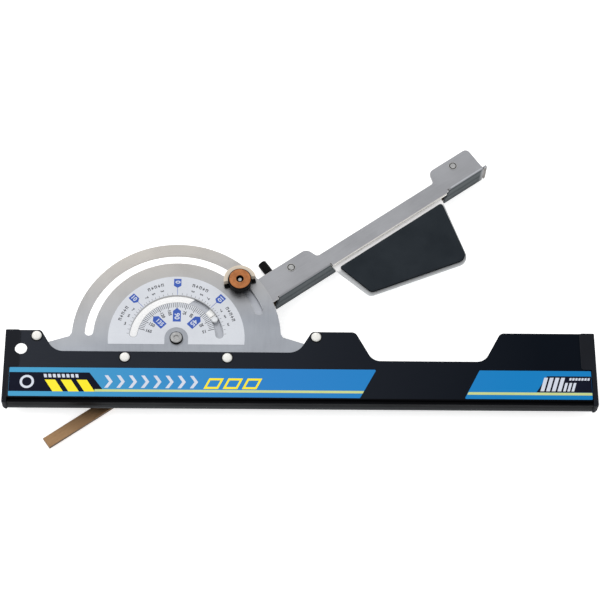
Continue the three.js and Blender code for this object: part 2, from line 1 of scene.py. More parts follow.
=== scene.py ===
"""An adjustable angle guide for a circular saw, rendered around its CAD frame.

Metres, +Z up. X runs along the fence, the pivot axis is the Z axis and z = 0 is the timber's top.
"""

import bpy
import bmesh
import json
import math
from mathutils import Matrix, Vector


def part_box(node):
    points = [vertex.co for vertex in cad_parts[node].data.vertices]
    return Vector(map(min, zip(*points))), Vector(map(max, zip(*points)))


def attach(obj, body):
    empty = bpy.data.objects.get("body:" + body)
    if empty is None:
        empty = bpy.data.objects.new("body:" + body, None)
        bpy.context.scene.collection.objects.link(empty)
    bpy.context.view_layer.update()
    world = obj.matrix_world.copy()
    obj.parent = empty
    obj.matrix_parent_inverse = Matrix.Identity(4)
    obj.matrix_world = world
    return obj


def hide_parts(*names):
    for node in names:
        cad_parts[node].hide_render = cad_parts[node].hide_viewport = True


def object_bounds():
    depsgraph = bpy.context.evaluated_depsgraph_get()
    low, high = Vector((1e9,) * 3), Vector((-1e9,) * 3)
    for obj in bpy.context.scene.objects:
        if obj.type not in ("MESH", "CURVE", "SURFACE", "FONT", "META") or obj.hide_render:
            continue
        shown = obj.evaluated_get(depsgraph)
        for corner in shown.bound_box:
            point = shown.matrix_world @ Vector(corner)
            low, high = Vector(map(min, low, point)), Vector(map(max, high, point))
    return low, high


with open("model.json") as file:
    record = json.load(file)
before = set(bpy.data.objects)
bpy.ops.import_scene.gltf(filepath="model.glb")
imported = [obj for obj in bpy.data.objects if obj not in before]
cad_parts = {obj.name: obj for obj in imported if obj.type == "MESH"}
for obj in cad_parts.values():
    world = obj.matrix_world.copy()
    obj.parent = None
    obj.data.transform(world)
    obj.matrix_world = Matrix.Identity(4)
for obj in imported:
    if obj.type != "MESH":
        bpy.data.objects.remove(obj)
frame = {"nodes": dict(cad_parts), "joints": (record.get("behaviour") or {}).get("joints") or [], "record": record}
cad_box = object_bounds()
nodes = frame["nodes"]
joints = {joint["name"]: joint for joint in frame["joints"]}
MM = 0.001
DEGREE = math.pi / 180
WELD_DISTANCE = 0.002 * MM

slide_axis = joints["bar_slide"]["axis"]
ARM_ANGLE = math.atan2(slide_axis[1], slide_axis[0])


# ---------- camera, floor and light ----------

def make_camera():
    """A long lens, steeply above the guide edge and a little to the left, rolled slightly."""
    elevation = 64.65 * DEGREE
    azimuth = -2.75 * DEGREE
    roll = 2.94 * DEGREE
    distance = 1.56
    target = Vector((0.0945, 0.0321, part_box("fence_rail")[1].z))
    back = Vector((
        math.sin(azimuth) * math.cos(elevation),
        -math.cos(azimuth) * math.cos(elevation),
        math.sin(elevation),
    ))
    level = Vector((math.cos(azimuth), math.sin(azimuth), 0))
    upright = back.cross(level)
    right = level * math.cos(roll) + upright * math.sin(roll)
    up = upright * math.cos(roll) - level * math.sin(roll)
    data = bpy.data.cameras.new("camera")
    data.sensor_width = 36
    data.lens = 121.5
    data.clip_start = 0.05
    data.clip_end = 20
    camera = bpy.data.objects.new("camera", data)
    camera.matrix_world = Matrix((
        (right.x, up.x, back.x, 0),
        (right.y, up.y, back.y, 0),
        (right.z, up.z, back.z, 0),
        (0, 0, 0, 1),
    ))
    camera.location = target + back * distance
    bpy.context.scene.collection.objects.link(camera)
    bpy.context.scene.camera = camera


def area_light(name, place, aim, size, power):
    data = bpy.data.lights.new(name, "AREA")
    data.shape = "RECTANGLE"
    data.size = size[0]
    data.size_y = size[1]
    data.energy = power
    light = bpy.data.objects.new(name, data)
    light.location = Vector(place)
    direction = Vector(aim) - light.location
    light.rotation_euler = direction.to_track_quat("-Z", "Y").to_euler()
    bpy.context.scene.collection.objects.link(light)


def make_studio():
    """White surroundings, a little brighter overhead than at the horizon, with two large softboxes."""
    world = bpy.data.worlds.new("studio")
    world.use_nodes = True
    tree = world.node_tree
    place = tree.nodes.new("ShaderNodeTexCoord")
    height = tree.nodes.new("ShaderNodeSeparateXYZ")
    sky = tree.nodes.new("ShaderNodeValToRGB")
    sky.color_ramp.elements[0].color = (0.78, 0.80, 0.82, 1)
    sky.color_ramp.elements[1].color = (1.0, 0.995, 0.985, 1)
    tree.links.new(place.outputs["Generated"], height.inputs["Vector"])
    tree.links.new(height.outputs["Z"], sky.inputs["Fac"])
    tree.links.new(sky.outputs["Color"], tree.nodes["Background"].inputs["Color"])
    tree.nodes["Background"].inputs["Strength"].default_value = 0.86
    bpy.context.scene.world = world
    area_light("back_softbox", (-0.6, 1.4, 1.2), (0.05, 0, 0), (1.6, 0.9), 15)
    area_light("left_softbox", (-1.5, -0.2, 1.5), (0.05, 0, 0), (1.0, 1.0), 7)
    bpy.context.scene.view_settings.view_transform = "Standard"


def make_floor():
    """A sheet of white film on a softly lit table."""
    material, tree, shader = new_material("floor_paper")
    shader.inputs["Base Color"].default_value = (0.8, 0.8, 0.8, 1)
    shader.inputs["Roughness"].default_value = 0.9
    shader.inputs["Specular IOR Level"].default_value = 0.1
    shader.inputs["Emission Color"].default_value = (1, 1, 1, 1)
    shader.inputs["Emission Strength"].default_value = 0.6
    half = 6.0
    height = cad_box[0][2] - 0.0002
    mesh = bpy.data.meshes.new("floor")
    corners = [(-half, -half, height), (half, -half, height), (half, half, height), (-half, half, height)]
    mesh.from_pydata(corners, [], [(0, 1, 2, 3)])
    mesh.materials.append(material)
    floor = bpy.data.objects.new("floor", mesh)
    bpy.context.scene.collection.objects.link(floor)


# ---------- material building blocks ----------

def srgb(red, green, blue):
    """A colour given as 0 to 255 values, as a linear colour."""
    def linear(value):
        value /= 255
        return value / 12.92 if value <= 0.04045 else ((value + 0.055) / 1.055) ** 2.4
    return (linear(red), linear(green), linear(blue), 1)


def new_material(name):
    material = bpy.data.materials.new(name)
    material.use_nodes = True
    tree = material.node_tree
    return material, tree, tree.nodes["Principled BSDF"]


def noise(tree, size, detail, stretch=(1, 1, 1), angle=0.0):
    """Noise with features of that size in metres, stretched along X turned by angle."""
    place = tree.nodes.new("ShaderNodeTexCoord")
    turn = tree.nodes.new("ShaderNodeMapping")
    turn.vector_type = "TEXTURE"
    turn.inputs["Rotation"].default_value = (0, 0, angle)
    turn.inputs["Scale"].default_value = stretch
    texture = tree.nodes.new("ShaderNodeTexNoise")
    texture.inputs["Scale"].default_value = 1 / size
    texture.inputs["Detail"].default_value = detail
    texture.inputs["Roughness"].default_value = 0.55
    tree.links.new(place.outputs["Object"], turn.inputs["Vector"])
    tree.links.new(turn.outputs["Vector"], texture.inputs["Vector"])
    return texture.outputs["Fac"]


def remap(tree, value, low, high, from_low=0.3, from_high=0.7):
    node = tree.nodes.new("ShaderNodeMapRange")
    node.inputs["From Min"].default_value = from_low
    node.inputs["From Max"].default_value = from_high
    node.inputs["To Min"].default_value = low
    node.inputs["To Max"].default_value = high
    tree.links.new(value, node.inputs["Value"])
    return node.outputs["Result"]


def blend_colour(tree, factor, first, second):
    """Mixes two colours, each a linear colour or another node's output."""
    node = tree.nodes.new("ShaderNodeMix")
    node.data_type = "RGBA"
    tree.links.new(factor, node.inputs[0])
    for colour, socket in ((first, node.inputs[6]), (second, node.inputs[7])):
        if isinstance(colour, tuple):
            socket.default_value = colour
        else:
            tree.links.new(colour, socket)
    return node.outputs[2]


def edge_mask(tree, width):
    """1 along the sharp edges of a piece, 0 on its faces."""
    rounded = tree.nodes.new("ShaderNodeBevel")
    rounded.samples = 6
    rounded.inputs["Radius"].default_value = width
    true = tree.nodes.new("ShaderNodeNewGeometry")
    dot = tree.nodes.new("ShaderNodeVectorMath")
    dot.operation = "DOT_PRODUCT"
    tree.links.new(rounded.outputs["Normal"], dot.inputs[0])
    tree.links.new(true.outputs["Normal"], dot.inputs[1])
    return remap(tree, dot.outputs["Value"], 1.0, 0.0, 0.75, 0.99)


def add_bump(tree, shader, height, depth):
    bump = tree.nodes.new("ShaderNodeBump")
    bump.inputs["Distance"].default_value = depth
    bump.inputs["Strength"].default_value = 1.0
    tree.links.new(height, bump.inputs["Height"])
    tree.links.new(bump.outputs["Normal"], shader.inputs["Normal"])


def arithmetic(tree, operation, first, second):
    """A maths node on two values, each a number or another node's output."""
    node = tree.nodes.new("ShaderNodeMath")
    node.operation = operation
    for value, socket in ((first, node.inputs[0]), (second, node.inputs[1])):
        if isinstance(value, (int, float)):
            socket.default_value = value
        else:
            tree.links.new(value, socket)
    return node.outputs["Value"]


def coordinates(tree, angle=0.0):
    """The three coordinates on a piece in metres, with X turned by angle."""
    place = tree.nodes.new("ShaderNodeTexCoord")
    turn = tree.nodes.new("ShaderNodeMapping")
    turn.vector_type = "TEXTURE"
    turn.inputs["Rotation"].default_value = (0, 0, angle)
    split = tree.nodes.new("ShaderNodeSeparateXYZ")
    tree.links.new(place.outputs["Object"], turn.inputs["Vector"])
    tree.links.new(turn.outputs["Vector"], split.inputs["Vector"])
    return split.outputs["X"], split.outputs["Y"], split.outputs["Z"]


def product(tree, first, *others):
    for other in others:
        first = arithmetic(tree, "MULTIPLY", first, other)
    return first


def above(tree, value, threshold, blur=0.0002):
    """0 below a threshold, 1 above it, with a soft change."""
    return remap(tree, value, 0.0, 1.0, threshold - blur, threshold + blur)


def below(tree, value, threshold, blur=0.0002):
    return remap(tree, value, 1.0, 0.0, threshold - blur, threshold + blur)


def between(tree, value, low, high, blur=0.0002):
    return product(tree, above(tree, value, low, blur), below(tree, value, high, blur))


def side_mask(tree):
    """1 on walls, 0 on level faces."""
    place = tree.nodes.new("ShaderNodeTexCoord")
    split = tree.nodes.new("ShaderNodeSeparateXYZ")
    tree.links.new(place.outputs["Normal"], split.inputs["Vector"])
    level = arithmetic(tree, "ABSOLUTE", split.outputs["Z"], 0.0)
    return remap(tree, level, 1.0, 0.0, 0.2, 0.7)


def paint_over(tree, shader, mask, colour):
    """Lays another colour over a finish where the mask is 1."""
    socket = shader.inputs["Base Color"]
    under = socket.links[0].from_socket
    over = blend_colour(tree, mask, under, colour)
    tree.links.new(over, socket)


def surface(name, colour, second, roughness, metallic=0.0, specular=0.5, grain=0.0006, stretch=(1, 1, 1),
            angle=0.0, depth=0.00002, patch=0.03, rough_spread=0.08, edge=None, edge_width=0.0005,
            side=None):
    """A finish: two colours mixed in patches and grain, uneven gloss, fine relief and edges in their own colour,
    part wear and part painted highlight.
    """
    material, tree, shader = new_material(name)
    fine = noise(tree, grain, 6.0, stretch, angle)
    broad = noise(tree, patch, 3.0)
    average = tree.nodes.new("ShaderNodeMath")
    average.operation = "ADD"
    tree.links.new(remap(tree, fine, 0.0, 0.5), average.inputs[0])
    tree.links.new(remap(tree, broad, 0.0, 0.5), average.inputs[1])
    base = blend_colour(tree, average.outputs["Value"], colour, second)
    if side is not None:
        base = blend_colour(tree, side_mask(tree), base, side)
    # Edges take the edge colour: part wear, and where it is lighter than the face, a painted highlight.
    if edge is not None:
        base = blend_colour(tree, edge_mask(tree, edge_width), base, edge)
    tree.links.new(base, shader.inputs["Base Color"])
    tree.links.new(
        remap(tree, average.outputs["Value"], roughness - rough_spread, roughness + rough_spread, 0.2, 0.8),
        shader.inputs["Roughness"],
    )
    shader.inputs["Metallic"].default_value = metallic
    shader.inputs["Specular IOR Level"].default_value = specular
    add_bump(tree, shader, fine, depth)
    return material


# ---------- the object's materials ----------

def anodised_material():
    """Black anodised rail, greyer towards the left, with near-black painted shade on the strip by the guide edge
    and on the front wall, and painted light towards the front wall's foot.
    """
    material = surface(
        "anodised_black", srgb(37, 40, 47), srgb(44, 47, 54), 0.5, specular=0.04, grain=0.0005,
        stretch=(30, 1, 1), depth=0.000006, patch=0.06, edge=srgb(78, 82, 88), edge_width=0.0004)
    tree = material.node_tree
    shader = tree.nodes["Principled BSDF"]
    along, across, height = coordinates(tree)
    paint_over(tree, shader, remap(tree, along, 0, 1, -0.1, 0.28), srgb(6, 12, 21))
    # Painted shade: the groove and strip between the film and the guide edge are painted near black.
    painted_shade_band = product(tree, below(tree, across, -0.0498), above(tree, height, 0.0103, 0.0003))
    paint_over(tree, shader, painted_shade_band, srgb(2, 2, 4))
    # Painted shade: the front wall, which faces away from the lamps, is painted darker.
    front = below(tree, across, -0.0537)
    paint_over(tree, shader, front, srgb(14, 16, 19))
    # Painted light: the front wall is painted lighter towards its foot.
    low = product(tree, front, remap(tree, height, 1.0, 0.0, 0.0025, 0.0065))
    paint_over(tree, shader, low, srgb(64, 66, 68))
    return material


def arm_material(grain):
    """Brushed arm sheet with painted shade on the outside of its two flanges, painted light where it shows through
    the protractor, and painted highlights along the end flange and the beam's edge beside the grip.
    """
    material = surface(
        "arm_steel", srgb(148, 149, 153), srgb(162, 163, 167), 0.42, metallic=1.0, depth=0.000004,
        patch=0.035, edge=srgb(212, 208, 202), edge_width=0.0004, **grain)
    tree = material.node_tree
    shader = tree.nodes["Principled BSDF"]
    along, across, height = coordinates(tree, ARM_ANGLE)
    hub_flange, end_flange, ear_start = 0.0832, 0.248, 0.2845
    outer_face = product(tree, below(tree, across, -0.0157, 0.0001), below(tree, height, 0.0076, 0.0001))
    end_face = product(tree, below(tree, across, -0.0144, 0.0001), below(tree, height, 0.0058, 0.0001))
    wall = arithmetic(tree, "MAXIMUM", outer_face, end_face)
    # The flanges' ends lean along the arm with height.
    slant = arithmetic(tree, "SUBTRACT", along, product(tree, height, 0.3))
    hub_band = product(tree, above(tree, slant, hub_flange, 0.0003), below(tree, along, 0.2, 0.001))
    end_band = product(
        tree, above(tree, slant, end_flange, 0.0003), below(tree, along, ear_start - 0.001, 0.002))
    # Painted shade: the outer walls of both flanges are painted dark grey, with a darker line across their middle
    # (groove) and a darker foot.
    painted_shade_band = product(tree, wall, arithmetic(tree, "MAXIMUM", hub_band, end_band))
    groove = between(tree, height, -0.0026, 0.0004, 0.0006)
    wall_shade = blend_colour(tree, groove, srgb(78, 84, 87), srgb(60, 66, 69))
    wall_shade = blend_colour(tree, below(tree, height, -0.0066, 0.0006), wall_shade, srgb(68, 73, 76))
    paint_over(tree, shader, painted_shade_band, wall_shade)
    # Painted shade: the outer face of the ear at the end flange's tip is painted mid grey.
    ear = product(tree, wall, above(tree, along, ear_start, 0.0012))
    paint_over(tree, shader, ear, srgb(132, 129, 126))
    # Painted light: within reach of the protractor the arm is painted lighter, where it shows through the slots.
    under_protractor = 0.0785
    square = arithmetic(tree, "ADD", product(tree, along, along), product(tree, across, across))
    reach = arithmetic(tree, "SQRT", square, 0.0)
    paint_over(tree, shader, below(tree, reach, under_protractor, 0.0006), srgb(172, 175, 182))
    glint = product(
        tree, between(tree, along, 0.2525, 0.2845, 0.001), between(tree, across, -0.0152, -0.0143, 0.0002))
    paint_over(tree, shader, glint, srgb(196, 199, 205))
    # Painted highlight: a light strip along the beam's top edge beside the grip sheet, and a near-white highlight
    # on the edge's wall.
    beside_grip = between(tree, along, 0.1355, 0.2515)
    rim = product(tree, beside_grip, between(tree, across, -0.0179, -0.0168))
    paint_over(tree, shader, rim, srgb(200, 198, 195))
    edge_wall_highlight = product(tree, rim, side_mask(tree))
    paint_over(tree, shader, edge_wall_highlight, srgb(255, 252, 247))
    # The painted light and shade are made non-metallic and less glossy, so that their painted colour shows.
    painted_light_shade = arithmetic(tree, "MAXIMUM", edge_wall_highlight, arithmetic(tree, "MAXIMUM", painted_shade_band, ear))
    tree.links.new(arithmetic(tree, "SUBTRACT", 1.0, painted_light_shade), shader.inputs["Metallic"])
    tree.links.new(arithmetic(tree, "SUBTRACT", 0.5, product(tree, painted_light_shade, 0.46)),
                   shader.inputs["Specular IOR Level"])
    return material


def grip_sheet_material(grain):
    """Grip sheet, bright beside the beam and greyer where its rim shows beyond the pad."""
    material = surface(
        "grip_sheet", srgb(222, 221, 222), srgb(232, 231, 231), 0.5, metallic=0.15, specular=0.3,
        depth=0.000004, patch=0.02, edge=srgb(222, 220, 215), edge_width=0.0003, **grain)
    tree = material.node_tree
    shader = tree.nodes["Principled BSDF"]
    _, across, _ = coordinates(tree, ARM_ANGLE)
    paint_over(tree, shader, below(tree, across, -0.0235, 0.001), srgb(182, 184, 186))
    return material


def protractor_material():
    """Brushed stainless sheet with a painted warm reflection towards the rim, cooler by the fence and the hub."""
    material = surface(
        "stainless_brushed", srgb(151, 155, 163), srgb(161, 165, 172), 0.38, metallic=1.0,
        grain=0.0003, stretch=(1, 45, 1), depth=0.0000035, patch=0.03, edge=srgb(206, 203, 198),
        edge_width=0.0004)
    tree = material.node_tree
    shader = tree.nodes["Principled BSDF"]
    along, across, _ = coordinates(tree)
    # Painted reflection: a warm tint that rises towards the rim.
    leaning = arithmetic(tree, "SUBTRACT", across, product(tree, along, 0.2))
    paint_over(tree, shader, remap(tree, leaning, 0, 1, 0.005, 0.075), srgb(178, 174, 169))
    return material


def label_material():
    """Blue film, greener at its left end and deeper at its right end."""
    material = surface(
        "label_blue", srgb(68, 149, 191), srgb(74, 155, 197), 0.45, specular=0.05, grain=0.0008,
        depth=0.000003, patch=0.05, rough_spread=0.05)
    tree = material.node_tree
    shader = tree.nodes["Principled BSDF"]
    along, _, _ = coordinates(tree)
    paint_over(tree, shader, remap(tree, along, 0, 1, -0.1, 0.06), srgb(47, 125, 192))
    paint_over(tree, shader, remap(tree, along, 0, 1, 0.06, 0.26), srgb(23, 122, 186))
    return material


def bar_material(grain):
    """Gold-coloured bar with darker painted sides, and painted shadow where it runs under the arm."""
    # Painted shade: the bar's side faces take the darker side colour.
    material = surface(
        "bar_gold", srgb(136, 104, 72), srgb(164, 132, 98), 0.4, metallic=0.85, edge=srgb(150, 122, 90),
        edge_width=0.0003, depth=0.000008, patch=0.03, side=srgb(66, 50, 36), **grain)
    tree = material.node_tree
    shader = tree.nodes["Principled BSDF"]
    along, _, _ = coordinates(tree, ARM_ANGLE)
    # Painted shadow: the bar is painted dark brown where it runs under the arm.
    paint_over(tree, shader, above(tree, along, 0.04, 0.03), srgb(88, 76, 62))
    return material


def ink(name, colour, second, patch):
    """Printing ink with hardly any gloss."""
    return surface(name, colour, second, 0.45, specular=0.05, patch=patch)


def make_materials():
    """Every finish by name. The grain of the brushed parts follows the arm."""
    grain = dict(stretch=(40, 1, 1), angle=ARM_ANGLE, grain=0.0004)
    return {
        "anodised": anodised_material(),
        "arm_steel": arm_material(grain),
        "stainless": protractor_material(),
        "grip_sheet": grip_sheet_material(grain),
        "cap_plastic": surface(
            "cap_plastic", srgb(22, 24, 29), srgb(30, 32, 38), 0.6, specular=0.06, grain=0.0005,
            depth=0.00003, edge=srgb(48, 51, 56)),
        "label_blue": label_material(),
        "rubber": surface(
            "strip_rubber", srgb(24, 24, 25), srgb(40, 40, 41), 0.9, specular=0.2, grain=0.0006,
            depth=0.00008),
        "scale_white": surface(
            "scale_film", srgb(198, 201, 208), srgb(209, 212, 218), 0.4, specular=0.3, grain=0.0007,
            depth=0.000003, patch=0.02, rough_spread=0.05),
        "rivet_white": surface(
            "rivet_white", srgb(224, 223, 218), srgb(238, 237, 232), 0.3, specular=0.5, grain=0.0004,
            depth=0.000008, patch=0.004, edge=srgb(196, 195, 190)),
        "steel": surface(
            "steel_turned", srgb(150, 151, 153), srgb(182, 182, 181), 0.36, metallic=1.0, grain=0.0005,
            depth=0.00001, patch=0.003, edge=srgb(206, 206, 204)),
        # Painted highlight: the guide pin is steel given a near-white, barely metallic colour where it catches the
        # light.
        "pin_painted_highlight": surface(
            "pin_painted_highlight", srgb(206, 209, 213), srgb(222, 224, 227), 0.42, metallic=0.3, specular=0.4,
            grain=0.0004, depth=0.000006, patch=0.003, edge=srgb(232, 233, 235)),
        "nylon": surface(
            "nylon_natural", srgb(240, 240, 238), srgb(250, 250, 249), 0.5, specular=0.4, grain=0.0005,
            depth=0.00001, patch=0.01),
        "pad": surface(
            "pad_foam", srgb(30, 35, 40), srgb(44, 49, 54), 0.92, specular=0.06, grain=0.00035,
            depth=0.00012, patch=0.02, rough_spread=0.05, side=srgb(8, 9, 10)),
        "brass": bar_material(grain),
        "black_plastic": surface(
            "moulded_black", srgb(4, 4, 5), srgb(10, 10, 11), 0.5, specular=0.08, grain=0.0004,
            depth=0.00002, patch=0.01, edge=srgb(26, 26, 28)),
        "copper": surface(
            "knob_copper", srgb(134, 78, 40), srgb(190, 122, 72), 0.42, metallic=0.55, specular=0.4,
            grain=0.00035, depth=0.00001, patch=0.004, edge=srgb(120, 76, 46)),
        "cream": surface(
            "washer_cream", srgb(196, 182, 164), srgb(212, 200, 184), 0.55, specular=0.3, grain=0.0004,
            depth=0.00001, patch=0.008, edge=srgb(226, 214, 196)),
        "ink_navy": ink("ink_navy", srgb(12, 15, 30), srgb(20, 23, 40), 0.02),
        "ink_yellow": ink("ink_yellow", srgb(240, 220, 34), srgb(248, 232, 66), 0.02),
        "ink_pale": ink("ink_pale", srgb(196, 202, 216), srgb(214, 219, 230), 0.01),
        "ink_lemon": ink("ink_lemon", srgb(186, 200, 128), srgb(206, 214, 150), 0.02),
        "ink_tag": ink("ink_tag", srgb(58, 86, 164), srgb(72, 100, 180), 0.01),
        "ink_black": surface("ink_black", srgb(24, 26, 32), srgb(40, 42, 50), 0.5, specular=0.2, patch=0.01),
        "hole_black": surface(
            "groove_black", srgb(10, 10, 10), srgb(20, 20, 20), 0.7, specular=0.1, grain=0.0003, patch=0.005),
    }


# ---------- modifiers for the CAD nodes ----------

def smooth_group():
    """Geometry nodes that weld a mesh and shade it smooth, apart from its sharp edges."""
    sharp_angle = 32 * DEGREE
    group = bpy.data.node_groups.new("smooth_by_angle", "GeometryNodeTree")
    group.interface.new_socket("Geometry", in_out="INPUT", socket_type="NodeSocketGeometry")
    group.interface.new_socket("Geometry", in_out="OUTPUT", socket_type="NodeSocketGeometry")
    make = group.nodes.new
    start = make("NodeGroupInput")
    end = make("NodeGroupOutput")
    weld = make("GeometryNodeMergeByDistance")
    weld.inputs["Distance"].default_value = WELD_DISTANCE
    faces = make("GeometryNodeSetShadeSmooth")
    faces.domain = "FACE"
    edges = make("GeometryNodeSetShadeSmooth")
    edges.domain = "EDGE"
    edges.inputs["Shade Smooth"].default_value = False
    angle = make("GeometryNodeInputMeshEdgeAngle")
    sharp = make("FunctionNodeCompare")
    sharp.operation = "GREATER_THAN"
    sharp.inputs["B"].default_value = sharp_angle
    link = group.links.new
    link(start.outputs[0], weld.inputs["Geometry"])
    link(weld.outputs["Geometry"], faces.inputs["Geometry"])
    link(faces.outputs["Geometry"], edges.inputs["Geometry"])
    link(angle.outputs["Unsigned Angle"], sharp.inputs["A"])
    link(sharp.outputs["Result"], edges.inputs["Selection"])
    link(edges.outputs["Geometry"], end.inputs[0])
    return group


def finish_node(name, material, group, bevel=0.0):
    """Gives a CAD node its material, soft edges and smooth shading."""
    node = nodes[name]
    node.data.materials.clear()
    node.data.materials.append(material)
    weld = node.modifiers.new("weld", "WELD")
    weld.merge_threshold = WELD_DISTANCE
    if bevel > 0:
        soften = node.modifiers.new("bevel", "BEVEL")
        soften.width = bevel
        soften.segments = 2
        soften.limit_method = "ANGLE"
        soften.angle_limit = 40 * DEGREE
        soften.use_clamp_overlap = True
    smooth = node.modifiers.new("smooth", "NODES")
    smooth.node_group = group
    flatten = node.modifiers.new("even_normals", "WEIGHTED_NORMAL")
    flatten.keep_sharp = True
    flatten.weight = 100


# ---------- printed film and other added pieces ----------

def link_piece(name, mesh, material, body):
    mesh.materials.append(material)
    piece = bpy.data.objects.new(name, mesh)
    bpy.context.scene.collection.objects.link(piece)
    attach(piece, body)
    return piece


def printed(name, outlines, bottom, material, body="fence", thick=0.04):
    """Flat prints: closed outlines in millimetres, standing a hair above the film they are on."""
    build = bmesh.new()
    for outline in outlines:
        low = [build.verts.new((x * MM, y * MM, bottom)) for x, y in outline]
        high = [build.verts.new((x * MM, y * MM, bottom + thick * MM)) for x, y in outline]
        build.faces.new(list(reversed(low)))
        build.faces.new(high)
        count = len(outline)
        for i in range(count):
            j = (i + 1) % count
            build.faces.new((low[i], low[j], high[j], high[i]))
    bmesh.ops.recalc_face_normals(build, faces=build.faces)
    mesh = bpy.data.meshes.new(name)
    build.to_mesh(mesh)
    build.free()
    return link_piece(name, mesh, material, body)


def polar(radius, angle):
    return (radius * math.cos(angle * DEGREE), radius * math.sin(angle * DEGREE))


def radial_box(inner, outer, width, angle):
    """A thin box along a radius of the scale."""
    ray = Vector(polar(1, angle))
    side = Vector((-ray.y, ray.x)) * (width / 2)
    corners = (ray * inner - side, ray * outer - side, ray * outer + side, ray * inner + side)
    return [tuple(corner) for corner in corners]


def tag(base, tip, width, angle):
    """A pentagon on a radius, with its point at tip."""
    ray = Vector(polar(1, angle))
    side = Vector((-ray.y, ray.x)) * (width / 2)
    shoulder = base + (tip - base) * 0.78
    corners = (ray * base - side, ray * shoulder - side, ray * tip, ray * shoulder + side, ray * base + side)
    points = [tuple(corner) for corner in corners]
    return points if tip > base else list(reversed(points))


def arc_band(inner, outer, start, end, steps):
    angles = [start + (end - start) * i / steps for i in range(steps + 1)]
    return [polar(outer, angle) for angle in angles] + [polar(inner, angle) for angle in reversed(angles)]


def gate(angle):
    """A small mark of a bar on two posts, standing on a radius."""
    posts = [radial_box(44.9, 46.9, 0.5, angle + side) for side in (-0.8, 0.8)]
    return posts + [arc_band(46.9, 47.4, angle - 1.2, angle + 1.2, 2)]


def cross(angle):
    """A small mark of a post through a bar, standing on a radius."""
    posts = [radial_box(44.9, 45.8, 0.5, angle), radial_box(46.3, 47.4, 0.5, angle)]
    return posts + [arc_band(45.8, 46.3, angle - 1.3, angle + 1.3, 2)]


def numbers(name, entries, bottom, material):
    """Dial numbers as one mesh, each read towards the pivot: text, size, radius and bearing."""
    thick = 0.05
    build = bmesh.new()
    for text, size, radius, angle in entries:
        curve = bpy.data.curves.new("number", "FONT")
        curve.body = text
        curve.size = size * MM
        curve.align_x = "CENTER"
        curve.align_y = "CENTER"
        curve.extrude = thick * MM / 2
        curve.resolution_u = 2
        curve.offset = 0.000022 * size
        holder = bpy.data.objects.new("number", curve)
        x, y = polar(radius, angle)
        turn = Matrix.Rotation((angle + 180) * DEGREE, 4, "Z")
        place = Matrix.Translation((x * MM, y * MM, bottom + thick * MM / 2)) @ turn
        mesh = bpy.data.meshes.new_from_object(holder)
        mesh.transform(place)
        build.from_mesh(mesh)
        bpy.data.objects.remove(holder)
        bpy.data.meshes.remove(mesh)
        bpy.data.curves.remove(curve)
    bmesh.ops.remove_doubles(build, verts=build.verts, dist=0.000001)
    mesh = bpy.data.meshes.new(name)
    build.to_mesh(mesh)
    build.free()
    return link_piece(name, mesh, material, "fence")


def slanted(left, right, low, high, lean):
    """A parallelogram whose upper side is shifted right by lean."""
    return [(left, low), (right, low), (right + lean, high), (left + lean, high)]


def make_scale(materials):
    """The printed scale: degrees inside the inner slot, slope outside it."""
    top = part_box("scale_sticker")[1].z
    inner_print, outer_print = 29.9, 36.6
    tag_angles = (45, 90, 135)
    tag_thick = 0.06
    ticks = []
    for angle in range(15, 166, 3):
        major = angle % 15 == 0
        ticks.append(radial_box(24.9 if major else 26.0, inner_print, 0.46 if major else 0.36, angle))
    for slope in range(1, 10):
        bearing = math.degrees(math.atan(slope / 10))
        for angle in sorted({90 - bearing, 90 + bearing, bearing, 180 - bearing}):
            ticks.append(radial_box(outer_print, outer_print + 1.6, 0.22, angle))
    printed("scale_ticks", ticks, top, materials["ink_black"])
    leaders = [radial_box(outer_print, 42.5, 0.3, angle) for angle in tag_angles]
    tags = [tag(50.2, 42.6, 5.7, angle) for angle in tag_angles]
    tags += [tag(13.9, 25.4, 6.1, angle) for angle in tag_angles]
    printed("scale_tags", leaders + tags, top, materials["ink_tag"], thick=tag_thick)
    marks = []
    for middle in (26.5, 67.5, 111.5, 153.5):
        for step in (-2, -1, 0, 1, 2):
            marks += gate(middle + step * 3.4) if step % 2 == 0 else cross(middle + step * 3.4)
    printed("scale_marks", marks, top, materials["ink_black"])
    small = [(str(angle), 3.4, 22.0, angle) for angle in range(15, 166, 15) if angle not in tag_angles]
    for digit in (3, 5, 7):
        bearing = math.degrees(math.atan(digit / 10))
        places = (bearing, 90 - bearing, 90 + bearing, 180 - bearing)
        small += [(str(digit), 3.4, 41.2, angle) for angle in places]
    numbers("scale_numbers", small, top, materials["ink_black"])
    large = [("45", 5.6, 18.4, 45), ("90", 5.6, 18.4, 90), ("135", 4.6, 18.4, 135)]
    large += [("10", 4.9, 47.2, 45), ("0", 5.4, 47.4, 90), ("10", 4.9, 47.2, 135)]
    numbers("scale_tag_numbers", large, top + tag_thick * MM, materials["ink_pale"])


def frame_shape(left, low, width, height, lean, stroke):
    """The four strokes of a slanted hollow block."""
    rise = lean * height
    shift = lean * stroke
    return [
        slanted(left, left + width, low, low + stroke, shift),
        slanted(left + rise - shift, left + width + rise - shift, low + height - stroke, low + height, shift),
        slanted(left + shift, left + stroke + shift, low + stroke, low + height - stroke, rise - 2 * shift),
        slanted(left + width - stroke + shift, left + width + shift, low + stroke, low + height - stroke,
                rise - 2 * shift),
    ]


def chevron(left, low, size, stroke):
    """A V lying on its side that points right."""
    middle = low + size
    tip = left + size * 0.7
    return [
        [(left, low), (left + stroke, low), (tip + stroke, middle), (tip, middle)],
        [(tip, middle), (tip + stroke, middle), (left + stroke, middle + size), (left, middle + size)],
    ]


